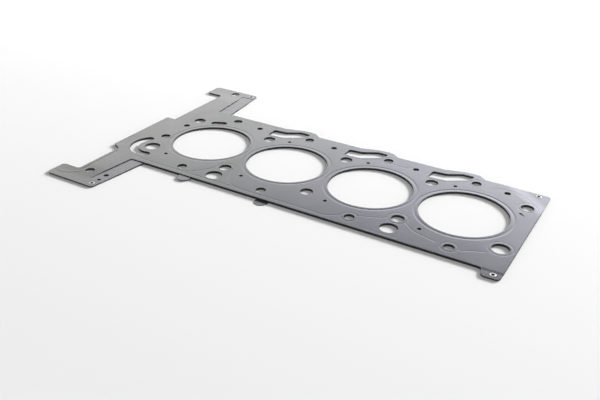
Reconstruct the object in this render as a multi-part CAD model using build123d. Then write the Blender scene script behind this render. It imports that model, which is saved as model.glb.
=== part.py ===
from build123d import *

import os
from math import acos, ceil, cos, pi, sin

# Multi-layer steel cylinder head gasket for an in-line four-cylinder engine.
# Three punched sheets lie on each other: a flat carrier in the middle, and a thin spring
# steel sheet on each side whose embossed beads stand on the carrier. At four corners the
# outer sheets are joggled down onto the carrier, and a flanged eyelet holds the three
# together there, below the outer faces. Two arms at the timing end reach round the timing
# cover and end in hooks.
#
# +X runs along the cylinder bank, away from the timing end, and +Z points to the
# cylinder head. The origin is the middle of the bank, on the face that lies on the block.
# All lengths are in millimetres.

# --- Sheets and beads ---
SHEET_T = 0.25
CARRIER_T = 0.8
BEAD_H = 0.55

# --- Arcs that nothing is fitted in are drawn as chords, this far off at most ---
CHORD_ERROR = 0.2

# --- Cylinder bank ---
BORE_COUNT = 4
BORE_PITCH = 99.0
BORE_D = 87.3
BORE_BEAD_W = 4.0
BORE_BEAD_LAND = 1.55

# --- Head bolts and locating dowels, in two rows. The carrier's holes are the fitted ones ---
BOLT_ROW_Y = 43.4
BOLT_HOLE_D = 12.5
DOWEL_HOLE_D = 16.4
OUTER_HOLE_CLEARANCE = 0.3

# --- Body outline, from the bank's centre line and from the outermost bores ---
FAR_EDGE_Y = 79.5
NEAR_EDGE_Y = -80.5
DRIVE_END_X = 63.5
CORNER_R = 4.0
EAR_W = 16.5
EAR_DEPTH = 11.0
EAR_SLANT = 3.0

# --- Arms at the timing end, measured back from the first bore ---
ARM_OUTER_X = 77.5
ARM_ROOT_X = 30.7
ARM_TIP_X = 37.5
ARM_END_Y = 150.5
HOOK_X = 100.0
HOOK_INNER_Y = 127.0
HOOK_R = 4.5
END_TAB_X = 89.0
END_TAB_TOP_Y = 30.7
END_TAB_LOW_Y = -61.5
END_TAB_SLANT = 5.5
NOTCH_ROOT_X = 47.5
NOTCH_TIP_X = 52.5
NOTCH_END_Y = 138.5
NOTCH_R = 2.5
INNER_R = 2.0

# --- Coolant slots between the bores, and the bulges that carry their outer walls ---
SLOT_CORNERS = [
    (40.5, 54.5),
    (60.0, 56.0),
    (79.0, 68.5),
    (84.0, 80.0),
    (70.5, 80.2),
    (55.5, 71.0),
    (40.5, 69.5),
]
SLOT_R = 2.5
BULGE = [(94.5, 0.0, 3.0), (86.0, 7.0, 6.0), (71.5, 6.6, 10.0), (49.5, 0.0, 12.0)]

# --- Round passages beside every bore: x from the bore's axis, y, diameter ---
NEAR_PASSAGE = (9.5, -65.6, 10.4)
FAR_PASSAGE = (-9.6, 66.3, 10.2)
SMALL_PASSAGE = (24.0, 62.6, 6.6)
NEAR_BLEED = (-24.8, -50.4, 4.0)
FAR_BLEED = (-26.2, 49.2, 4.0)

# --- Oil returns below the second and fourth bolt columns ---
OIL_RETURN_D = 17.6
OIL_RETURN_Y = -64.0
OIL_RETURN_COLUMNS = (1, 3)

# --- Passages at the timing end: x from the first bore's axis, y, diameter ---
END_PASSAGE = (-54.5, -14.4, 10.4)
END_BLEED = (-53.5, 23.3, 7.2)
FEED_SLOT_AT = (-25.7, 49.5)
FEED_SLOT_L = 18.8
FEED_SLOT_W = 9.0
FEED_SLOT_TILT = 27.0
RING_SLOT_R = 20.2
RING_SLOT_W = 9.6
RING_SLOT_FROM = 139.0
RING_SLOT_TO = 288.0

# --- Holes in the arms: x from the first bore's axis, y, diameter ---
NEAR_ARM_HOLE = (-64.4, -124.7, 9.8)
FAR_ARM_HOLE = (-65.3, 140.6, 10.8)
CARRIER_ARM_HOLES = [(-43.0, -123.8, 5.6), (-42.6, -134.8, 4.0)]

# --- Thickness marking tabs on the near edge ---
TAB_W = 14.4
TAB_DEPTH = 10.0
CARRIER_TAB_X = 26.0
BOTTOM_TAB_X = 120.0

# --- Eyelets: place from the first bore for the arms, from the outline for the corners ---
EYELET_BORE_D = 3.0
EYELET_SHANK_D = 4.0
EYELET_FLANGE_D = 5.8
EYELET_FLANGE_T = 0.25
EYELET_CLEARANCE = 0.05
EYELET_SIDES = 12
ARM_EYELET_X = 43.0
ARM_EYELET_INSET = 6.0
EAR_EYELET_INSET_X = 7.6
EAR_EYELET_INSET_Y = 5.4
CORNER_EYELET_INSET_X = 11.5
CORNER_EYELET_INSET_Y = 5.0

# --- Joggles that bring the outer sheets down onto the carrier at the eyelets ---
JOGGLE_W = 2.5
JOGGLE_MARGIN = 0.3

# --- Levels of the stack, from the block face up ---
CARRIER_Z = SHEET_T + BEAD_H
TOP_SHEET_Z = CARRIER_Z + CARRIER_T + BEAD_H
TOP_SEAT_Z = CARRIER_Z + CARRIER_T
BOTTOM_SEAT_Z = BEAD_H


def bore_x(index):
    """The place of a bore's axis along the bank."""
    return (index - (BORE_COUNT - 1) / 2) * BORE_PITCH


FIRST_X = bore_x(0)
LAST_X = bore_x(BORE_COUNT - 1)
END_X = LAST_X + DRIVE_END_X
BEAD_INNER_R = BORE_D / 2 + BORE_BEAD_LAND
BEAD_OUTER_R = BEAD_INNER_R + BORE_BEAD_W
BEAD_SIDES = ceil(pi / acos(1 - CHORD_ERROR / BEAD_OUTER_R))
JOGGLE_REACH = EYELET_FLANGE_D / 2 + JOGGLE_MARGIN + JOGGLE_W


def disc(x, y, diameter):
    """A flat round face."""
    return Pos(x, y) * Circle(diameter / 2)


def chorded(face):
    """The face with each arc of its outline drawn as chords."""
    points = []
    for edge in face.face().outer_wire().order_edges():
        count = 1
        if edge.geom_type == GeomType.CIRCLE:
            step = 2 * acos(1 - CHORD_ERROR / edge.radius)
            count = ceil(edge.length / edge.radius / step)
        points += [edge @ (index / count) for index in range(count)]
    return make_face(Polyline(*points, close=True))


def opening(x, y, diameter):
    """A flat round face for an opening that nothing is fitted in."""
    return chorded(disc(x, y, diameter))


def rounded(corners):
    """A flat face inside straight edges, from (x, y, corner radius)."""
    points = [(x, y) for x, y, _ in corners]
    radii = [radius for _, _, radius in corners]
    return chorded(make_face(FilletPolyline(*points, radius=radii, close=True)))


def outline():
    """The punched outline that the carrier and the bottom sheet share."""
    root = FIRST_X - ARM_ROOT_X
    tip = FIRST_X - ARM_TIP_X
    outer = FIRST_X - ARM_OUTER_X
    hook = FIRST_X - HOOK_X
    tab = FIRST_X - END_TAB_X
    ear = END_X - EAR_W
    ear_y = NEAR_EDGE_Y - EAR_DEPTH
    corners = [
        (hook, -ARM_END_Y, HOOK_R),
        (tip, -ARM_END_Y, CORNER_R),
        (root, NEAR_EDGE_Y, INNER_R),
        (ear - EAR_SLANT, NEAR_EDGE_Y, CORNER_R),
        (ear, ear_y, CORNER_R),
        (END_X, ear_y, CORNER_R),
        (END_X, FAR_EDGE_Y, CORNER_R),
    ]
    for index in reversed(range(BORE_COUNT - 1)):
        corners += [(bore_x(index) + x, FAR_EDGE_Y + rise, r) for x, rise, r in BULGE]
    corners += [
        (root, FAR_EDGE_Y, INNER_R),
        (tip, ARM_END_Y, CORNER_R),
        (hook, ARM_END_Y, HOOK_R),
        (hook, HOOK_INNER_Y, HOOK_R),
        (outer, HOOK_INNER_Y, CORNER_R),
        (outer, END_TAB_TOP_Y, INNER_R),
        (tab, END_TAB_TOP_Y, INNER_R),
        (tab, END_TAB_LOW_Y, INNER_R),
        (outer, END_TAB_LOW_Y - END_TAB_SLANT, INNER_R),
        (outer, -HOOK_INNER_Y, CORNER_R),
        (hook, -HOOK_INNER_Y, HOOK_R),
    ]
    return rounded(corners)


def arm_notch(edge_y, side):
    """The part of an arm that the top sheet leaves open, between the body and the hook."""
    outside = FIRST_X - ARM_ROOT_X / 2
    corners = [
        (outside, edge_y, 0),
        (FIRST_X - NOTCH_ROOT_X, edge_y, NOTCH_R),
        (FIRST_X - NOTCH_TIP_X, side * NOTCH_END_Y, NOTCH_R),
        (outside, side * NOTCH_END_Y, 0),
    ]
    return rounded(corners)


def marking_tab(x):
    """A half-round tab on the near edge."""
    straight = TAB_DEPTH - TAB_W / 2
    root = Pos(FIRST_X + x, NEAR_EDGE_Y - straight / 2) * Rectangle(TAB_W, straight)
    return root + opening(FIRST_X + x, NEAR_EDGE_Y - straight, TAB_W)


def bolt_columns():
    """The bolt columns' places, one at each end and one between each two bores."""
    return [bore_x(index - 0.5) for index in range(BORE_COUNT + 1)]


def bolt_places():
    """Two rows of head bolt holes, as (x, y, diameter). Dowels are at the near row's ends."""
    columns = bolt_columns()
    places = [(x, BOLT_ROW_Y, BOLT_HOLE_D) for x in columns]
    places += [(x, -BOLT_ROW_Y, BOLT_HOLE_D) for x in columns[1:-1]]
    return places + [(x, -BOLT_ROW_Y, DOWEL_HOLE_D) for x in (columns[0], columns[-1])]


def coolant_slots():
    """The slanted slots between the bores, beyond the far bolt row."""
    slots = []
    for index in range(BORE_COUNT - 1):
        corners = [(bore_x(index) + x, y, SLOT_R) for x, y in SLOT_CORNERS]
        slots.append(rounded(corners))
    return slots


def passages():
    """Round coolant and oil passages that go through every sheet."""
    holes = []
    for x, y, diameter in (NEAR_PASSAGE, FAR_PASSAGE, SMALL_PASSAGE):
        holes += [opening(bore_x(i) + x, y, diameter) for i in range(BORE_COUNT)]
    for x, y, diameter in (END_PASSAGE, END_BLEED, NEAR_ARM_HOLE, FAR_ARM_HOLE):
        holes.append(opening(FIRST_X + x, y, diameter))
    columns = [bolt_columns()[index] for index in OIL_RETURN_COLUMNS]
    return holes + [opening(x, OIL_RETURN_Y, OIL_RETURN_D) for x in columns]


def bleeds():
    """Small metering holes beside the bores."""
    near_x, near_y, near_d = NEAR_BLEED
    far_x, far_y, far_d = FAR_BLEED
    holes = [opening(bore_x(i) + near_x, near_y, near_d) for i in range(BORE_COUNT)]
    return holes + [opening(bore_x(i) + far_x, far_y, far_d) for i in range(1, BORE_COUNT)]


def feed_slot():
    """The oil feed slot near the first bore."""
    x, y = FEED_SLOT_AT
    slot = chorded(SlotOverall(FEED_SLOT_L, FEED_SLOT_W))
    return Pos(FIRST_X + x, y) * Rot(0, 0, FEED_SLOT_TILT) * slot


def ring_slot():
    """The slot that curls round the dowel hole at the timing end."""
    centre = Pos(bolt_columns()[0], -BOLT_ROW_Y)
    arc = CenterArc((0, 0), RING_SLOT_R, RING_SLOT_FROM, RING_SLOT_TO - RING_SLOT_FROM)
    return centre * chorded(SlotArc(arc, RING_SLOT_W))


def through_openings():
    """Every opening that all three sheets have alike."""
    return coolant_slots() + passages() + [feed_slot(), ring_slot()] + eyelet_holes()


def eyelet_places():
    """The eyelets and the way that the sheets' edge lies from each, in degrees.

    There is one in each arm's tip, one in the ear and one in the far corner.
    """
    arm_x = FIRST_X - ARM_EYELET_X
    arm_y = ARM_END_Y - ARM_EYELET_INSET
    ear_x = END_X - EAR_EYELET_INSET_X
    ear_y = NEAR_EDGE_Y - EAR_DEPTH + EAR_EYELET_INSET_Y
    corner_x = END_X - CORNER_EYELET_INSET_X
    corner_y = FAR_EDGE_Y - CORNER_EYELET_INSET_Y
    return [
        (arm_x, arm_y, 90.0),
        (arm_x, -arm_y, -90.0),
        (ear_x, ear_y, -90.0),
        (corner_x, corner_y, 45.0),
    ]


def joggle_frames():
    """Frames on the joggles' inner edges, with X towards the sheets' edge, and widths."""
    widths = (2 * HOOK_X, 2 * HOOK_X, 2 * (EAR_W + EAR_SLANT), 2 * HOOK_X)
    frames = []
    for (x, y, way), width in zip(eyelet_places(), widths):
        frames.append((Pos(x, y) * Rot(0, 0, way) * Pos(-JOGGLE_REACH, 0), width))
    return frames


def eyelet_holes():
    """The holes that the eyelets' shanks go through."""
    hole = RegularPolygon(EYELET_SHANK_D / 2 + EYELET_CLEARANCE, EYELET_SIDES)
    return [Pos(x, y) * hole for x, y, _ in eyelet_places()]


def ring_corners(radius):
    """Corners of the bead's many-sided ring, whose sides touch a circle of this radius."""
    half = pi / BEAD_SIDES
    reach = radius / cos(half)
    angles = [(2 * index + 1) * half for index in range(BEAD_SIDES)]
    return [(reach * cos(angle), reach * sin(angle)) for angle in angles]


def ring_bead(z, crest):
    """A full bead round a bore, in a sheet whose lower face is at z, mitred at each corner."""
    steps = [
        (BORE_D / 2, z),
        (BEAD_INNER_R, z),
        ((BEAD_INNER_R + BEAD_OUTER_R) / 2, crest),
        (BEAD_OUTER_R, z),
    ]
    profile = steps + [(x, level + SHEET_T) for x, level in reversed(steps)]
    section = make_face(Polyline(*[(x, 0, level) for x, level in profile], close=True))
    start = (BORE_D / 2, 0)
    route = Polyline(start, *ring_corners(BORE_D / 2), start)
    return sweep(section, path=route, transition=Transition.RIGHT)


def joggled(face, z, seat_z):
    """A sheet over a flat face, joggled from z to seat_z towards the eyelets."""
    flat, ramps, tips = face, [], []
    for frame, width in joggle_frames():
        ramp_area = frame * Pos(JOGGLE_W / 2, 0) * Rectangle(JOGGLE_W, width)
        tip_area = frame * Pos(JOGGLE_W + width / 2, 0) * Rectangle(width, width)
        flat = flat - [ramp_area, tip_area]
        tips.append(Pos(0, 0, seat_z) * extrude(face & tip_area, SHEET_T))
        slope = [(0, z), (JOGGLE_W, seat_z), (JOGGLE_W, seat_z + SHEET_T), (0, z + SHEET_T)]
        section = make_face(Polyline(*[(x, 0, level) for x, level in slope], close=True))
        slab = frame * extrude(section, width / 2, both=True)
        low, high = min(z, seat_z), max(z, seat_z) + SHEET_T
        ramps.append(slab & (Pos(0, 0, low) * extrude(face & ramp_area, high - low)))
    return Pos(0, 0, z) * extrude(flat, SHEET_T) + ramps + tips


def outer_sheet(face, z, seat_z):
    """A thin sheet with beads round the bores, joggled onto the carrier at the eyelets."""
    ring = make_face(Polyline(*ring_corners(BEAD_OUTER_R), close=True))
    holes = [Pos(bore_x(index), 0) * ring for index in range(BORE_COUNT)]
    for x, y, diameter in bolt_places():
        holes.append(opening(x, y, diameter + 2 * OUTER_HOLE_CLEARANCE))
    sheet = joggled(face - (holes + through_openings()), z, seat_z)
    bead = ring_bead(z, seat_z)
    return sheet + [Pos(bore_x(i), 0, 0) * bead for i in range(BORE_COUNT)]


def make_top_sheet():
    """The embossed sheet on the cylinder head's side, notched at both arms."""
    face = outline() - [arm_notch(FAR_EDGE_Y, 1), arm_notch(NEAR_EDGE_Y, -1)]
    face -= bleeds()
    return outer_sheet(face, TOP_SHEET_Z, TOP_SEAT_Z)


def make_bottom_sheet():
    """The embossed sheet on the block's side."""
    face = outline() + marking_tab(BOTTOM_TAB_X)
    return outer_sheet(face, 0, BOTTOM_SEAT_Z)


def make_carrier():
    """The flat middle sheet."""
    face = outline() + marking_tab(CARRIER_TAB_X)
    holes = [disc(bore_x(index), 0, BORE_D) for index in range(BORE_COUNT)]
    holes += [disc(x, y, diameter) for x, y, diameter in bolt_places()]
    holes += [opening(FIRST_X + x, y, d) for x, y, d in CARRIER_ARM_HOLES]
    holes += through_openings()
    return Pos(0, 0, CARRIER_Z) * extrude(face - holes, CARRIER_T)


def make_eyelets():
    """Flanged tubes that clamp both outer sheets to the carrier."""
    low = BOTTOM_SEAT_Z
    high = TOP_SEAT_Z + SHEET_T
    bore = RegularPolygon(EYELET_BORE_D / 2, EYELET_SIDES)
    shank = RegularPolygon(EYELET_SHANK_D / 2, EYELET_SIDES)
    flange = extrude(RegularPolygon(EYELET_FLANGE_D / 2, EYELET_SIDES) - bore, EYELET_FLANGE_T)
    eyelet = Pos(0, 0, low) * extrude(shank - bore, high - low)
    eyelet += Pos(0, 0, low - EYELET_FLANGE_T) * flange
    eyelet += Pos(0, 0, high) * flange
    return Compound([Pos(x, y, 0) * eyelet for x, y, _ in eyelet_places()])


def main():
    os.makedirs("parts", exist_ok=True)
    export_step(make_bottom_sheet(), "parts/bottom_sheet.step")
    export_step(make_carrier(), "parts/carrier_sheet.step")
    export_step(make_top_sheet(), "parts/top_sheet.step")
    export_step(make_eyelets(), "parts/eyelets.step")


main()
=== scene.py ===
from math import asin, ceil, cos, pi, radians, sin, tan

import bpy
import numpy as np
from mathutils import Matrix
from mathutils.geometry import delaunay_2d_cdt


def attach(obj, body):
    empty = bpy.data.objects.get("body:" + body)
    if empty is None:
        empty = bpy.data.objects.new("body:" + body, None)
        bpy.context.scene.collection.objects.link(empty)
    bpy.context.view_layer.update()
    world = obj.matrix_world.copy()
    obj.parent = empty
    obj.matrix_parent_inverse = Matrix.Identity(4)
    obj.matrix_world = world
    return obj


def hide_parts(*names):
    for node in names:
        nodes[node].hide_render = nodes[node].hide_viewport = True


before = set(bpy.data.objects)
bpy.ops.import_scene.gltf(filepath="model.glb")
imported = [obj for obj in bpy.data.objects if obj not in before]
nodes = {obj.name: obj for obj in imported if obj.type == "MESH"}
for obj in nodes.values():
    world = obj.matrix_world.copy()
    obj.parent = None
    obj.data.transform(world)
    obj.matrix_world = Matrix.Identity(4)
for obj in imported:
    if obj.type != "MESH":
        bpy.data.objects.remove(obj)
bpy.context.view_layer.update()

# The object's lengths are in millimetres up to the moment that a mesh is made, which is in
# metres. The floor, the lamps and the materials' scales are in metres.
MM = 0.001

# --- Camera: the photograph's view, with its focal length on a 36 mm wide sensor ---
CAMERA_AT = (319.7, -616.4, 352.2)
CAMERA_TURN = 29.71
CAMERA_TILT = 61.264
CAMERA_ROLL = 1.50
LENS = 44.68
SENSOR_W = 36.0

# --- Stack, from the block face up ---
SHEET_T = 0.25
CARRIER_T = 0.8
BEAD_H = 0.55
CARRIER_Z = SHEET_T + BEAD_H
TOP_SHEET_Z = CARRIER_Z + CARRIER_T + BEAD_H

# --- Cylinder bank ---
PITCH = 99.0
BORE_XS = [(index - 1.5) * PITCH for index in range(4)]
BORE_R = 43.65
BOLT_ROW_Y = 43.4
RING_BEAD_R = 47.4
RING_BEAD_W = 4.6
RING_BEAD_H = 0.10

# --- Eyelets and the joggles beside them: x, y, the way to the sheets' edge in degrees,
# --- how far back the joggle starts and how far it goes on each side
EYELETS = [
    (-191.5, 144.5, 90.0, 34.0, 100.0),
    (-191.5, -144.5, -90.0, 34.0, 100.0),
    (204.4, -86.1, -90.0, 5.7, 19.5),
    (200.5, 74.5, 45.0, 22.0, 100.0),
]
JOGGLE_END = 3.2
EYELET_LEVELS = (BEAD_H, CARRIER_Z + CARRIER_T + SHEET_T)

# --- Round passages and bleeds beside every bore, from its axis ---
NEAR_PASSAGE = (9.5, -65.6)
FAR_PASSAGE = (-9.6, 66.3)
NEAR_BLEED = (-24.8, -50.4)
FAR_BLEED = (-26.2, 49.2)
BLEED_R = 2.0

# --- Narrow beads that part the oil, the coolant and the outside ---
LINE_BEAD_W = 2.0
FAINT_BEAD_H = 0.045
LINE_BEAD_H = 0.07
DEEP_BEAD_H = 0.10
HOOK_BEAD_H = 0.15
# A bead that runs onto a joggled part stands off the carrier there. It turns over between
# these shares of the joggle's depth.
BEAD_TURNS = (0.5, 0.8)

# --- Keyhole mark near the drive end ---
KEYHOLE_AT = (195.4, 28.6)
KEYHOLE_WAY = -35.0
KEYHOLE_R = 1.5
KEYHOLE_L = 5.0
KEYHOLE_SLOT_W = 1.3

# --- How outlines are read from the frame: a wall's normal, a round hole, a bore, a corner ---
WALL_NORMAL_Z = 0.02
ROUND_HOLE_SPREAD = 0.01
ROUND_HOLE_SIDES = 7
BORE_SHARE = 0.9
CORNER_ANGLE = 50.0

# --- How finely curves are drawn ---
ROUND_STEP = 1.2
STRAIGHT_BEND = 1e-4
BLEED_SIDES = 24
KEYHOLE_SIDES = 16
RING_SIDES = 120
BEAD_STEP = 2.0
BEAD_END_SIDES = 12

# --- Where the mesh gets its edges, as shares of half a bead's width or a joggle's length ---
LINE_BEAD_EDGES = (-1, -0.5, 0, 0.5, 1)
BEAD_END_EDGES = (0.5, 1)
RING_BEAD_EDGES = (-1, -0.67, -0.33, 0, 0.33, 0.67, 1)
JOGGLE_EDGES = (0, 0.17, 0.33, 0.5, 0.67, 0.83, 1)

# --- Shading: a rim is rounded up to this bend, and slopes are taken over this step ---
SHARP_ANGLE = 35.0
SLOPE_STEP = 0.02


# ---------------------------------------------------------------- outlines from the frame

def wall_segments(node):
    """The plan of a punched sheet's vertical walls, as pairs of points."""
    mesh = node.data
    segments = set()
    for polygon in mesh.polygons:
        if abs(polygon.normal.z) > WALL_NORMAL_Z:
            continue
        for a, b in polygon.edge_keys:
            ends = [mesh.vertices[index].co for index in (a, b)]
            p, q = [(round(end.x / MM, 3), round(end.y / MM, 3)) for end in ends]
            if p != q:
                segments.add(frozenset((p, q)))
    return segments


def closed_loops(segments):
    """Joins plan segments end to end into closed loops."""
    beside = {}
    for segment in segments:
        p, q = segment
        beside.setdefault(p, set()).add(q)
        beside.setdefault(q, set()).add(p)
    loops = []
    while beside:
        start = min(beside)
        loop = [start]
        here = start
        while beside.get(here):
            following = min(beside[here])
            beside[here].discard(following)
            beside[following].discard(here)
            if following == start:
                break
            loop.append(following)
            here = following
        for point in loop:
            if point in beside and not beside[point]:
                del beside[point]
        if len(loop) > 2:
            loops.append(np.array(loop))
    return loops


def circle(x, y, radius, sides):
    """Points round a circle."""
    angles = np.arange(sides) * 2 * pi / sides
    return np.column_stack((x + radius * np.cos(angles), y + radius * np.sin(angles)))


def smoothed(loop):
    """The loop with runs of short chords turned back into the arcs that they stand for."""
    centre = loop.mean(0)
    radii = np.hypot(*(loop - centre).T)
    if len(loop) >= ROUND_HOLE_SIDES and np.ptp(radii) < ROUND_HOLE_SPREAD * radii.mean():
        radius = radii.mean()
        if radius > BORE_SHARE * BORE_R:
            radius = BORE_R
        sides = max(BLEED_SIDES, ceil(2 * pi * radius / ROUND_STEP))
        return circle(*centre, radius, min(sides, 2 * RING_SIDES))
    ahead = np.roll(loop, -1, 0) - loop
    length = np.hypot(*ahead.T)
    way = ahead / length[:, None]
    way_before, length_before = np.roll(way, 1, 0), np.roll(length, 1)
    tangent = way + way_before
    tangent[length > 2 * length_before] = way[length > 2 * length_before]
    late = length_before > 2 * length
    tangent[late] = way_before[late]
    sharp = (way * way_before).sum(1) < cos(radians(CORNER_ANGLE))
    points = []
    for index in range(len(loop)):
        after = (index + 1) % len(loop)
        start, end = loop[index], loop[after]
        out_way = way[index] if sharp[index] else tangent[index]
        in_way = way[index] if sharp[after] else tangent[after]
        out_way = out_way / np.hypot(*out_way)
        in_way = in_way / np.hypot(*in_way)
        bend = max(1 - out_way @ way[index], 1 - in_way @ way[index])
        count = 1 if bend < STRAIGHT_BEND else max(2, ceil(length[index] / ROUND_STEP))
        for step in range(count):
            t = step / count
            points.append(
                (2 * t**3 - 3 * t**2 + 1) * start
                + (t**3 - 2 * t**2 + t) * length[index] * out_way
                + (3 * t**2 - 2 * t**3) * end
                + (t**3 - t**2) * length[index] * in_way
            )
    return np.array(points)


def loop_area(loop):
    """The area inside a closed loop."""
    x, y = loop.T
    return 0.5 * abs(np.sum(x * np.roll(y, -1) - np.roll(x, -1) * y))


def plan_of(name):
    """The outer outline of a node's sheet, and its openings."""
    loops = [smoothed(loop) for loop in closed_loops(wall_segments(nodes[name]))]
    loops.sort(key=loop_area, reverse=True)
    return loops[0], loops[1:]


# ---------------------------------------------------------------- beads

def curve_through(points):
    """A smooth open line through points."""
    points = [np.array(point, float) for point in points]
    points = [2 * points[0] - points[1]] + points + [2 * points[-1] - points[-2]]
    line = []
    for before, start, end, after in zip(points, points[1:], points[2:], points[3:]):
        count = max(1, ceil(np.hypot(*(end - start)) / BEAD_STEP))
        for step in range(count):
            t = step / count
            line.append(0.5 * (
                2 * start + (end - before) * t
                + (2 * before - 5 * start + 4 * end - after) * t**2
                + (3 * start - before - 3 * end + after) * t**3
            ))
    line.append(points[-2])
    return np.array(line)


def arc(x, y, radius, first, last):
    """Points on an arc, from one angle to another in degrees."""
    count = max(3, ceil(abs(radians(last - first)) * radius / (2 * BEAD_STEP)))
    angles = [radians(first + (last - first) * step / count) for step in range(count + 1)]
    return [(x + radius * cos(angle), y + radius * sin(angle)) for angle in angles]


def ring(x, y, radius):
    """A closed line round a hole."""
    return np.array(arc(x, y, radius, 0, 360))


def island_over(x):
    """The bead that takes the bolt and the oil return below it out of the coolant's side."""
    over = arc(x, -BOLT_ROW_Y, 10.0, 200, -20)
    left = [(x - 40, -74.4), (x - 26, -70.5), (x - 15.5, -59.5)]
    right = [(x + 15.5, -59.5), (x + 24, -70.0), (x + 36, -74.4)]
    return left + over + right


def under_slot(x):
    """The bead below a coolant slot, from its near end round to its far end."""
    return [
        (x + 36.5, 62.0), (x + 37.5, 54.0), (x + 44, 51.0), (x + 60, 52.4),
        (x + 70, 58.0), (x + 81.0, 66.0), (x + 87.0, 76.0),
    ]


def line_beads():
    """The narrow beads as (line, depth)."""
    first, second, third, fourth = BORE_XS
    deep, clear, faint = DEEP_BEAD_H, LINE_BEAD_H, FAINT_BEAD_H
    near_x, near_y = NEAR_PASSAGE
    far_x, far_y = FAR_PASSAGE
    beads = []
    front = [(-198, -71.3), (-180, -74.3), (first, -74.9), (second, -74.9), (0, -74.9), (36, -75.6)]
    wave = [(36, -75.6), (50.0, -68.0)] + arc(third + near_x, near_y, 8.2, 160, 45)
    wave += [(75.0, -55.6), (84.0, -51.6)] + arc(PITCH, -BOLT_ROW_Y, 10.0, 200, -20)
    wave += [(113.5, -51.5), (120.0, -57.0), (130.0, -60.0), (145.0, -63.6)]
    tail = arc(fourth + near_x, near_y, 8.0, 160, 20)
    tail += [(170.0, -65.4), (178.0, -60.4), (188.0, -56.6)]
    beads += [(curve_through(front), deep), (curve_through(wave), clear)]
    beads.append((curve_through(tail), clear))
    beads.append((curve_through(island_over(-PITCH)), deep))
    beads.append((ring(third + near_x, near_y, 8.2), clear))
    beads.append((ring(fourth + near_x, near_y, 8.0), clear))
    beads.append((ring(PITCH, -BOLT_ROW_Y, 10.0), clear))
    beads.append((ring(2 * PITCH, -BOLT_ROW_Y, 11.6), clear))
    beads.append((ring(2 * PITCH, BOLT_ROW_Y + 0.6, 9.6), clear))
    beads.append((curve_through([(79, -76.8), (95, -77.0), (112, -76.6)]), faint))
    for x in (first, second, third):
        beads.append((curve_through(under_slot(x)), clear))
    for x in (second, third, fourth):
        beads.append((ring(x + far_x, far_y, 8.0), faint))
    beads.append((curve_through([(-160, 73.6), (-130, 74.2), (-104, 73.4)]), faint))
    crest = [(28, 63.4), (40, 61.6), (49.5, 61.4), (57.5, 60.0), (64, 61.6), (70, 64.4)]
    beads.append((curve_through(crest), clear))
    crest = [(153.5, 63.4), (163, 68.0), (176, 69.4), (186, 66.0), (193, 61.4), (201, 53.5)]
    beads.append((curve_through(crest), clear))
    for side in (1, -1):
        hook = [(-247, side * 139.8), (-240, side * 140.9), (-235, side * 140.8)]
        hook += [(-229.5, side * 138.8), (-225.2, side * 135.6), (-222.4, side * 132.1)]
        hook += [(-221.5, side * 126), (-222.0, side * 100), (-222.3, side * 72)]
        beads.append((curve_through(hook), faint if side > 0 else HOOK_BEAD_H))
    for reach in (30.0, 33.5, 37.0):
        beads.append((curve_through(arc(-198.5, -41.6, reach, 165, 205)), deep))
    return beads


def offset_lines(line, width):
    """Lines beside a bead's centre line and round its ends, where its mesh gets its edges."""
    along = np.gradient(line, axis=0)
    along /= np.hypot(*along.T)[:, None]
    across = np.column_stack((-along[:, 1], along[:, 0]))
    lines = [line + across * width / 2 * share for share in LINE_BEAD_EDGES]
    if np.hypot(*(line[0] - line[-1])) > width:
        for x, y in (line[0], line[-1]):
            for share in BEAD_END_EDGES:
                loop = circle(x, y, width / 2 * share, BEAD_END_SIDES)
                lines.append(np.vstack((loop, loop[:1])))
    return lines


def distance_to(line, points):
    """How far each point lies from a line."""
    nearest = np.full(len(points), 1e9)
    for start, end in zip(line, line[1:]):
        along = end - start
        share = np.clip((points - start) @ along / (along @ along), 0, 1)
        away = np.hypot(*(points - start - share[:, None] * along).T)
        nearest = np.minimum(nearest, away)
    return nearest


def bead_rise(points, beads):
    """How far the beads push a sheet out of its plane at each point."""
    rise = np.zeros(len(points))
    for x in BORE_XS:
        away = np.abs(np.hypot(points[:, 0] - x, points[:, 1]) - RING_BEAD_R)
        share = np.clip(away / (RING_BEAD_W / 2), 0, 1)
        rise = np.maximum(rise, RING_BEAD_H / 2 * (1 + np.cos(pi * share)))
    for line, height in beads:
        low, high = line.min(0) - LINE_BEAD_W, line.max(0) + LINE_BEAD_W
        near = np.all((points > low) & (points < high), axis=1)
        share = np.clip(distance_to(line, points[near]) / (LINE_BEAD_W / 2), 0, 1)
        rise[near] = np.maximum(rise[near], height / 2 * (1 + np.cos(pi * share)))
    return rise


def joggle_rise(points):
    """How far each point is pressed towards the carrier beside the eyelets."""
    rise = np.zeros(len(points))
    for x, y, way, reach, half_width in EYELETS:
        forward = np.array((cos(radians(way)), sin(radians(way))))
        across = np.array((-forward[1], forward[0]))
        ahead = (points - (x, y)) @ forward + reach
        beside = np.abs((points - (x, y)) @ across)
        share = np.clip(ahead / (reach - JOGGLE_END), 0, 1)
        share[beside > half_width] = 0
        rise = np.maximum(rise, BEAD_H / 2 * (1 - np.cos(pi * share)))
    return rise


def joggle_lines():
    """Lines across each joggle, where the mesh gets its edges."""
    lines = []
    for x, y, way, reach, half_width in EYELETS:
        forward = np.array((cos(radians(way)), sin(radians(way))))
        across = np.array((-forward[1], forward[0])) * half_width
        for share in JOGGLE_EDGES:
            middle = np.array((x, y)) + forward * (share * (reach - JOGGLE_END) - reach)
            lines.append(np.array((middle - across, middle + across)))
    return lines


# ---------------------------------------------------------------- sheets

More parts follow.
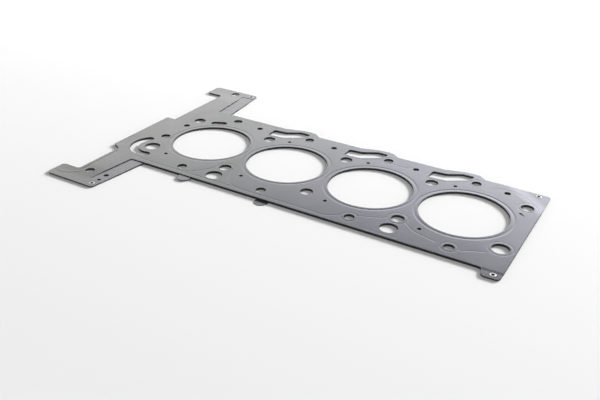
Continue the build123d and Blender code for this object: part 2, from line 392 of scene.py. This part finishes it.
def inside(points, loops):
    """Whether each point lies inside an odd number of the loops."""
    x, y = points.T
    odd = np.zeros(len(points), bool)
    for loop in loops:
        low, high = loop.min(0), loop.max(0)
        near = (x > low[0]) & (x < high[0]) & (y > low[1]) & (y < high[1])
        px, py = x[near], y[near]
        crossed = np.zeros(near.sum(), bool)
        for (ax, ay), (bx, by) in zip(loop, np.roll(loop, -1, 0)):
            if ay != by:
                at = ax + (py - ay) * (bx - ax) / (by - ay)
                crossed ^= ((ay > py) != (by > py)) & (px < at)
        odd[near] ^= crossed
    return odd


def triangulated(outline, openings, lines):
    """Plan points and triangles of a sheet, with edges along its loops and the given lines."""
    points, edges = [], []
    for loop in [outline] + openings:
        first = len(points)
        points += loop.tolist()
        edges += [(first + i, first + (i + 1) % len(loop)) for i in range(len(loop))]
    for line in lines:
        first = len(points)
        points += line.tolist()
        edges += [(first + i, first + i + 1) for i in range(len(line) - 1)]
    found = delaunay_2d_cdt(points, edges, [], 0, 1e-3, False)
    plan = np.array([tuple(point) for point in found[0]])
    faces = np.array([tuple(face) for face in found[2]])
    kept = inside(plan[faces].mean(1), [outline] + openings)
    return plan, faces[kept]


def upward_normals(plan, level):
    """The normals of a surface whose height over the plan is given by level."""
    slopes = [
        (level(plan + step) - level(plan - step)) / (2 * SLOPE_STEP)
        for step in ((SLOPE_STEP, 0), (0, SLOPE_STEP))
    ]
    normals = np.column_stack((-slopes[0], -slopes[1], np.ones(len(plan))))
    return normals / np.sqrt((normals**2).sum(1))[:, None]


def rim_normals(plan, rim):
    """Normals for the corners of the rim's faces, rounded where the rim bends gently."""
    rim = np.array(rim)
    along = plan[rim[:, 1]] - plan[rim[:, 0]]
    away = np.column_stack((along[:, 1], -along[:, 0]))
    away /= np.hypot(*away.T)[:, None]
    starting = {start: index for index, start in enumerate(rim[:, 0].tolist())}
    ending = {end: index for index, end in enumerate(rim[:, 1].tolist())}
    normals = []
    for index, (start, end) in enumerate(rim.tolist()):
        corners = []
        for beside in (ending[start], starting[end]):
            here = away[index]
            if here @ away[beside] > cos(radians(SHARP_ANGLE)):
                here = here + away[beside]
            corners.append((*(here / np.hypot(*here)), 0.0))
        normals += [corners[0], corners[0], corners[1], corners[1]]
    return np.array(normals)


def sheet_mesh(name, plan, faces, level, thickness, materials):
    """A closed sheet over plan triangles. level gives the height of its lower face."""
    used, faces = np.unique(faces, return_inverse=True)
    faces = faces.reshape(-1, 3)
    plan = plan[used]
    low = level(plan)
    a, b, c = (plan[faces[:, i]] for i in range(3))
    turned = (b[:, 0] - a[:, 0]) * (c[:, 1] - a[:, 1]) < (b[:, 1] - a[:, 1]) * (c[:, 0] - a[:, 0])
    faces[turned] = faces[turned][:, ::-1]
    directed = np.concatenate([faces[:, [0, 1]], faces[:, [1, 2]], faces[:, [2, 0]]])
    pairs = {tuple(edge) for edge in directed.tolist()}
    rim = [edge for edge in pairs if edge[::-1] not in pairs]
    rim.sort()
    count = len(plan)
    vertices = np.vstack((
        np.column_stack((plan, low + thickness)), np.column_stack((plan, low)),
    )) * MM
    polygons = faces.tolist() + (faces[:, ::-1] + count).tolist()
    polygons += [(p, p + count, q + count, q) for p, q in rim]
    mesh = bpy.data.meshes.new(name)
    mesh.from_pydata(vertices.tolist(), [], polygons)
    for material in materials:
        mesh.materials.append(material)
    slots = [0] * (2 * len(faces)) + [1] * len(rim)
    mesh.polygons.foreach_set("material_index", slots)
    mesh.shade_smooth()
    up = upward_normals(plan, level)
    outward = rim_normals(plan, rim)
    normals = np.concatenate((
        up[faces.reshape(-1)], -up[faces[:, ::-1].reshape(-1)], outward,
    ))
    mesh.normals_split_custom_set(normals.tolist())
    return mesh


def bleeds():
    """The small openings beside the bores, which go on through the carrier."""
    near = [circle(x + NEAR_BLEED[0], NEAR_BLEED[1], BLEED_R, BLEED_SIDES) for x in BORE_XS]
    far = [circle(x + FAR_BLEED[0], FAR_BLEED[1], BLEED_R, BLEED_SIDES) for x in BORE_XS[1:]]
    return near + far


def keyhole():
    """A small keyhole near the drive end: a round end with a slot away from the bolt hole."""
    x, y = KEYHOLE_AT
    way = radians(KEYHOLE_WAY)
    half = KEYHOLE_SLOT_W / 2
    opens = asin(half / KEYHOLE_R)
    points = []
    for step in range(KEYHOLE_SIDES + 1):
        angle = way + opens + 2 * (pi - opens) * step / KEYHOLE_SIDES
        points.append((x + KEYHOLE_R * cos(angle), y + KEYHOLE_R * sin(angle)))
    for side in (-1, 1):
        points.append((
            x + KEYHOLE_L * cos(way) - side * half * sin(way),
            y + KEYHOLE_L * sin(way) + side * half * cos(way),
        ))
    return np.array(points)


def add_sheet(name, node, lines, level, thickness, materials, extra=()):
    """Puts a finer sheet in the place of a node. level gives its lower face's height."""
    outline, openings = plan_of(node)
    openings = openings + list(extra)
    plan, faces = triangulated(outline, openings, lines)
    mesh = sheet_mesh(name, plan, faces, level, thickness, materials)
    piece = bpy.data.objects.new(name, mesh)
    bpy.context.scene.collection.objects.link(piece)
    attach(piece, "root")
    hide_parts(node)
    return piece


def make_sheets(coating, bare, shaded_cut_edge, shaded_carrier_edge):
    """The two embossed sheets and the carrier between them."""
    beads = line_beads()
    lines = joggle_lines()
    for line, _ in beads:
        lines += offset_lines(line, LINE_BEAD_W)
    for x in BORE_XS:
        for share in RING_BEAD_EDGES:
            loop = circle(x, 0, RING_BEAD_R + share * RING_BEAD_W / 2, RING_SIDES)
            lines.append(np.vstack((loop, loop[:1])))

    def rise(plan):
        joggle = joggle_rise(plan)
        turned = np.clip((joggle / BEAD_H - BEAD_TURNS[0]) / (BEAD_TURNS[1] - BEAD_TURNS[0]), 0, 1)
        return joggle + bead_rise(plan, beads) * (1 - 2 * turned)

    def top_level(plan):
        return TOP_SHEET_Z - rise(plan)

    def bottom_level(plan):
        return rise(plan)

    def carrier_level(plan):
        return np.full(len(plan), CARRIER_Z)

    # The cut walls take the near-black edge materials, which paint shade onto them.
    outer, inner = [coating, shaded_cut_edge], [bare, shaded_carrier_edge]
    mark = [keyhole()]
    add_sheet("top_steel", "top_sheet", lines, top_level, SHEET_T, outer, mark)
    add_sheet("bottom_steel", "bottom_sheet", lines, bottom_level, SHEET_T, outer)
    add_sheet(
        "carrier_steel", "carrier_sheet", [], carrier_level, CARRIER_T, inner,
        bleeds() + mark,
    )


# ---------------------------------------------------------------- eyelets

EYELET_BORE_R = 1.5
EYELET_SHANK_R = 2.0
EYELET_FLANGE_R = 2.85
EYELET_FLANGE_T = 0.24
EYELET_SIDES = 48
EYELET_SHARP_ANGLE = 60.0


def make_eyelets(plated, bore):
    """Rolled eyelets, whose flanges lie on both outer sheets."""
    low, high = EYELET_LEVELS
    lip = EYELET_FLANGE_T
    middle_r = (EYELET_BORE_R + EYELET_FLANGE_R) / 2
    half = [
        (EYELET_SHANK_R, high), (EYELET_FLANGE_R - 0.05, high),
        (EYELET_FLANGE_R, high + 0.3 * lip), (EYELET_FLANGE_R - 0.1, high + 0.75 * lip),
        (middle_r + 0.2, high + lip), (middle_r - 0.2, high + lip),
        (EYELET_BORE_R + 0.12, high + 0.8 * lip), (EYELET_BORE_R, high + 0.2 * lip),
    ]
    mirrored = [(radius, low + high - z) for radius, z in reversed(half)]
    profile = half + mirrored
    vertices, faces, slots = [], [], []
    for x, y, _, _, _ in EYELETS:
        first = len(vertices)
        for side in range(EYELET_SIDES):
            angle = 2 * pi * side / EYELET_SIDES
            for radius, z in profile:
                place = (x + radius * cos(angle), y + radius * sin(angle), z)
                vertices.append([value * MM for value in place])
        size = len(profile)
        for side in range(EYELET_SIDES):
            here = first + side * size
            there = first + (side + 1) % EYELET_SIDES * size
            for i in range(size):
                j = (i + 1) % size
                faces.append((here + i, there + i, there + j, here + j))
                # Faces inside the bore take the near-black bore material, which paints shade into
                # the eyelet's bore.
                inner = max(profile[i][0], profile[j][0]) < EYELET_BORE_R + 0.2
                slots.append(1 if inner else 0)
    mesh = bpy.data.meshes.new("eyelet_rings")
    mesh.from_pydata(vertices, [], faces)
    mesh.materials.append(plated)
    mesh.materials.append(bore)
    mesh.polygons.foreach_set("material_index", slots)
    mesh.shade_smooth()
    mesh.set_sharp_from_angle(angle=radians(EYELET_SHARP_ANGLE))
    mesh.validate()
    piece = bpy.data.objects.new("eyelet_rings", mesh)
    bpy.context.scene.collection.objects.link(piece)
    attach(piece, "root")
    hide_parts("eyelets")


# ---------------------------------------------------------------- materials

def new_material(name):
    """A material, its node tree, its shader and the place on the object, in metres."""
    material = bpy.data.materials.new(name)
    material.use_nodes = True
    tree = material.node_tree
    shader = tree.nodes["Principled BSDF"]
    place = tree.nodes.new("ShaderNodeTexCoord")
    return material, tree, shader, place.outputs["Object"]


def noise(tree, place, scale, detail=3.0, stretch=(1, 1, 1)):
    """Noise whose scale is in features per metre."""
    mapping = tree.nodes.new("ShaderNodeMapping")
    mapping.inputs["Scale"].default_value = stretch
    tree.links.new(place, mapping.inputs["Vector"])
    texture = tree.nodes.new("ShaderNodeTexNoise")
    texture.inputs["Scale"].default_value = scale
    texture.inputs["Detail"].default_value = detail
    tree.links.new(mapping.outputs["Vector"], texture.inputs["Vector"])
    return texture.outputs["Fac"]


def ramp(tree, value, stops):
    """A colour ramp with stops of (position, colour)."""
    node = tree.nodes.new("ShaderNodeValToRGB")
    bar = node.color_ramp
    while len(bar.elements) < len(stops):
        bar.elements.new(0.5)
    for element, (position, colour) in zip(bar.elements, stops):
        element.position = position
        element.color = (*colour, 1)
    tree.links.new(value, node.inputs["Fac"])
    return node.outputs["Color"]


def blend(tree, share, first, second, mode="MIX"):
    """Mixes two colours. share is a number or an output."""
    node = tree.nodes.new("ShaderNodeMix")
    node.data_type = "RGBA"
    node.blend_type = mode
    if isinstance(share, float):
        node.inputs["Factor"].default_value = share
    else:
        tree.links.new(share, node.inputs["Factor"])
    tree.links.new(first, node.inputs["A"])
    tree.links.new(second, node.inputs["B"])
    return node.outputs["Result"]


def bump(tree, shader, height, strength, distance):
    """Roughens the shader's surface by a height. distance is in metres."""
    node = tree.nodes.new("ShaderNodeBump")
    node.inputs["Strength"].default_value = strength
    node.inputs["Distance"].default_value = distance
    tree.links.new(height, node.inputs["Height"])
    tree.links.new(node.outputs["Normal"], shader.inputs["Normal"])


def coated_steel():
    """Spring steel under a thin satin coating, whose tint drifts from warm grey to violet."""
    material, tree, shader, place = new_material("coated_steel")
    split = tree.nodes.new("ShaderNodeSeparateXYZ")
    tree.links.new(place, split.inputs["Vector"])
    along = tree.nodes.new("ShaderNodeMapRange")
    along.inputs["From Min"].default_value = -0.25
    along.inputs["From Max"].default_value = 0.21
    tree.links.new(split.outputs["X"], along.inputs["Value"])
    tint = ramp(tree, along.outputs["Result"], [
        (0.0, (0.335, 0.335, 0.325)), (0.35, (0.33, 0.335, 0.34)),
        (0.65, (0.315, 0.32, 0.355)), (1.0, (0.325, 0.33, 0.365)),
    ])
    mottle = ramp(tree, noise(tree, place, 14.0, 2.0), [
        (0.35, (0.93, 0.95, 0.94)), (0.65, (1.04, 1.02, 1.05)),
    ])
    grain = ramp(tree, noise(tree, place, 900.0, 2.0), [
        (0.3, (0.94, 0.94, 0.94)), (0.7, (1.05, 1.05, 1.05)),
    ])
    colour = blend(tree, 1.0, tint, mottle, "MULTIPLY")
    colour = blend(tree, 1.0, colour, grain, "MULTIPLY")
    tree.links.new(colour, shader.inputs["Base Color"])
    rough = tree.nodes.new("ShaderNodeMapRange")
    rough.inputs["To Min"].default_value = 0.20
    rough.inputs["To Max"].default_value = 0.28
    tree.links.new(noise(tree, place, 60.0), rough.inputs["Value"])
    tree.links.new(rough.outputs["Result"], shader.inputs["Roughness"])
    shader.inputs["Metallic"].default_value = 0.88
    bump(tree, shader, noise(tree, place, 1500.0, 2.0), 0.05, 0.0001)
    return material


def bare_steel():
    """Cold-rolled steel with faint rolling marks along the bank."""
    material, tree, shader, place = new_material("bare_steel")
    marks = noise(tree, place, 300.0, 4.0, (0.06, 1, 1))
    colour = ramp(tree, marks, [(0.3, (0.35, 0.35, 0.365)), (0.7, (0.37, 0.37, 0.39))])
    tree.links.new(colour, shader.inputs["Base Color"])
    shader.inputs["Metallic"].default_value = 0.8
    rough = tree.nodes.new("ShaderNodeMapRange")
    rough.inputs["To Min"].default_value = 0.22
    rough.inputs["To Max"].default_value = 0.32
    tree.links.new(marks, rough.inputs["Value"])
    tree.links.new(rough.outputs["Result"], shader.inputs["Roughness"])
    bump(tree, shader, marks, 0.03, 0.0001)
    return material


# The dark and the light bands of each cut edge and of the eyelets' bores. Both are near-black,
# which is painted shade: the cut walls are darkened as if they lay in deep shade, where cut steel
# would be grey.
COATED_EDGE_SHADE = ((0.015, 0.015, 0.02), (0.05, 0.05, 0.055))
CARRIER_EDGE_SHADE = ((0.03, 0.03, 0.035), (0.09, 0.09, 0.095))
EYELET_BORE_SHADE = ((0.02, 0.02, 0.02), (0.08, 0.08, 0.08))


def painted_shade_edge(name, dark, light):
    """A punched edge: sheared bands across the thickness, in near-black colours that paint deep
    shade onto the cut walls.
    """
    material, tree, shader, place = new_material(name)
    bands = noise(tree, place, 700.0, 3.0, (1, 1, 4))
    tree.links.new(ramp(tree, bands, [(0.3, dark), (0.75, light)]), shader.inputs["Base Color"])
    shader.inputs["Roughness"].default_value = 0.55
    shader.inputs["Metallic"].default_value = 0.3
    return material


def plated_steel():
    """Bright plating with fine turning marks."""
    material, tree, shader, place = new_material("plated_steel")
    marks = noise(tree, place, 1200.0, 3.0)
    colour = ramp(tree, marks, [(0.3, (0.62, 0.61, 0.59)), (0.7, (0.74, 0.73, 0.71))])
    tree.links.new(colour, shader.inputs["Base Color"])
    shader.inputs["Metallic"].default_value = 0.4
    shader.inputs["Roughness"].default_value = 0.35
    bump(tree, shader, marks, 0.08, 0.0001)
    return material


# ---------------------------------------------------------------- stage, light and camera

FLOOR_SIZE = 40.0
FLOOR_DROP = 0.02 * MM
# The table's colour is darker near the camera than far away: painted shade, as if the light from
# behind fell off towards the front.
FLOOR_NEAR = (0.80, 0.80, 0.80)
FLOOR_FAR = (0.98, 0.98, 0.98)
FLOOR_FADE = (-0.35, 0.25)


def make_floor():
    """A white table that keeps the object's shadow, with painted shade that darkens it towards the
    camera.
    """
    half = FLOOR_SIZE / 2
    mesh = bpy.data.meshes.new("floor")
    corners = [(-half, -half, 0), (half, -half, 0), (half, half, 0), (-half, half, 0)]
    mesh.from_pydata(corners, [], [(0, 1, 2, 3)])
    floor = bpy.data.objects.new("floor", mesh)
    floor.location.z = -FLOOR_DROP
    bpy.context.scene.collection.objects.link(floor)
    material, tree, shader, place = new_material("white_table")
    split = tree.nodes.new("ShaderNodeSeparateXYZ")
    tree.links.new(place, split.inputs["Vector"])
    # Painted shade: the table's colour darkens from the back towards the front.
    painted_shade_fade = tree.nodes.new("ShaderNodeMapRange")
    painted_shade_fade.inputs["From Min"].default_value = FLOOR_FADE[0]
    painted_shade_fade.inputs["From Max"].default_value = FLOOR_FADE[1]
    tree.links.new(split.outputs["Y"], painted_shade_fade.inputs["Value"])
    colour = ramp(tree, painted_shade_fade.outputs["Result"], [(0.0, FLOOR_NEAR), (1.0, FLOOR_FAR)])
    tree.links.new(colour, shader.inputs["Base Color"])
    shader.inputs["Roughness"].default_value = 0.9
    shader.inputs["Specular IOR Level"].default_value = 0.1
    mesh.materials.append(material)


# How bright the studio is: behind the object and near the table's height, between there and
# the ceiling, at the ceiling, in front, and at the horizon in front. A band gives the heights
# between which one level fades into the next, from 0 at the horizon to 1 overhead.
BACK_LIGHT = 3.25
BACK_BAND = (0.40, 0.56)
DIM_LIGHT = 0.02
CEILING_LIGHT = 0.2
CEILING_BAND = (0.72, 0.92)
FRONT_LIGHT = 0.33
HORIZON_LIGHT = 1.0
HORIZON_BAND = (0.02, 0.2)
# The back is dimmer on the left: by this share, and between these places along the bank.
LEFT_SHARE = 0.38
LEFT_TO_RIGHT = (-0.62, 0.22)
# The back's light sets in, and the front's fades out, between these places from front to back.
BACK_SIDE = (0.0, 0.45)
FRONT_SIDE = (-0.1, 0.4)
FRONT_SHARE_BEHIND = 0.1


def make_world():
    """A studio that is bright behind the object, and dim overhead and in front."""
    world = bpy.data.worlds.new("studio")
    bpy.context.scene.world = world
    world.use_nodes = True
    tree = world.node_tree
    split = tree.nodes.new("ShaderNodeSeparateXYZ")
    place = tree.nodes.new("ShaderNodeTexCoord").outputs["Generated"]
    tree.links.new(place, split.inputs["Vector"])

    def graded(axis, band, low, high):
        node = tree.nodes.new("ShaderNodeMapRange")
        node.interpolation_type = "SMOOTHSTEP"
        node.inputs["From Min"].default_value, node.inputs["From Max"].default_value = band
        node.inputs["To Min"].default_value = low
        node.inputs["To Max"].default_value = high
        tree.links.new(split.outputs[axis], node.inputs["Value"])
        return node.outputs["Result"]

    def combined(operation, first, second):
        node = tree.nodes.new("ShaderNodeMath")
        node.operation = operation
        tree.links.new(first, node.inputs[0])
        tree.links.new(second, node.inputs[1])
        return node.outputs["Value"]

    back = graded("Z", BACK_BAND, BACK_LIGHT, DIM_LIGHT)
    back = combined("MULTIPLY", back, graded("X", LEFT_TO_RIGHT, LEFT_SHARE, 1.0))
    back = combined("MULTIPLY", back, graded("Y", BACK_SIDE, 0.0, 1.0))
    front = graded("Z", HORIZON_BAND, HORIZON_LIGHT, FRONT_LIGHT)
    front = combined("MULTIPLY", front, graded("Y", FRONT_SIDE, 1.0, FRONT_SHARE_BEHIND))
    ceiling = graded("Z", CEILING_BAND, 0.0, CEILING_LIGHT)
    light = combined("ADD", combined("ADD", back, front), ceiling)
    background = tree.nodes["Background"]
    background.inputs["Color"].default_value = (1, 1, 1, 1)
    tree.links.new(light, background.inputs["Strength"])


# The key light comes from this way over the table, and its size is an angle in degrees.
KEY_WAY = (0.42, 0.91)
KEY_ELEVATION = 20.0
KEY_SIZE = 12.0
KEY_POWER = 4.75
OVERHEAD_AT = (0.1, 0.3, 2.0)
OVERHEAD_SIZE = 1.4
OVERHEAD_POWER = 1.0


def add_lamp(name, data, away):
    """Adds a lamp that shines at the origin from the way that away points."""
    lamp = bpy.data.objects.new(name, data)
    lamp.location = away
    lamp.rotation_euler = lamp.location.to_track_quat("Z", "Y").to_euler()
    bpy.context.scene.collection.objects.link(lamp)


def make_lamps():
    """A low key light from behind on the right, and a soft lamp overhead."""
    key = bpy.data.lights.new("key_light", "SUN")
    key.angle = radians(KEY_SIZE)
    key.energy = KEY_POWER
    add_lamp("key_light", key, (*KEY_WAY, tan(radians(KEY_ELEVATION))))
    overhead = bpy.data.lights.new("overhead_lamp", "AREA")
    overhead.size = OVERHEAD_SIZE
    overhead.energy = OVERHEAD_POWER
    add_lamp("overhead_lamp", overhead, OVERHEAD_AT)


def make_camera():
    """The photograph's camera."""
    data = bpy.data.cameras.new("camera")
    data.lens = LENS
    data.sensor_width = SENSOR_W
    data.clip_start = 0.01
    camera = bpy.data.objects.new("camera", data)
    turn = Matrix.Rotation(radians(CAMERA_TURN), 4, "Z")
    tilt = Matrix.Rotation(radians(CAMERA_TILT), 4, "X")
    roll = Matrix.Rotation(radians(CAMERA_ROLL), 4, "Z")
    camera.matrix_world = turn @ tilt @ roll
    camera.location = [value * MM for value in CAMERA_AT]
    bpy.context.scene.collection.objects.link(camera)
    bpy.context.scene.camera = camera


make_camera()
make_world()
make_lamps()
make_floor()
make_sheets(
    coated_steel(),
    bare_steel(),
    painted_shade_edge("shaded_coated_edge", *COATED_EDGE_SHADE),
    painted_shade_edge("shaded_carrier_edge", *CARRIER_EDGE_SHADE),
)
make_eyelets(plated_steel(), painted_shade_edge("shaded_eyelet_bore", *EYELET_BORE_SHADE))
bpy.context.scene.view_settings.view_transform = "Standard"
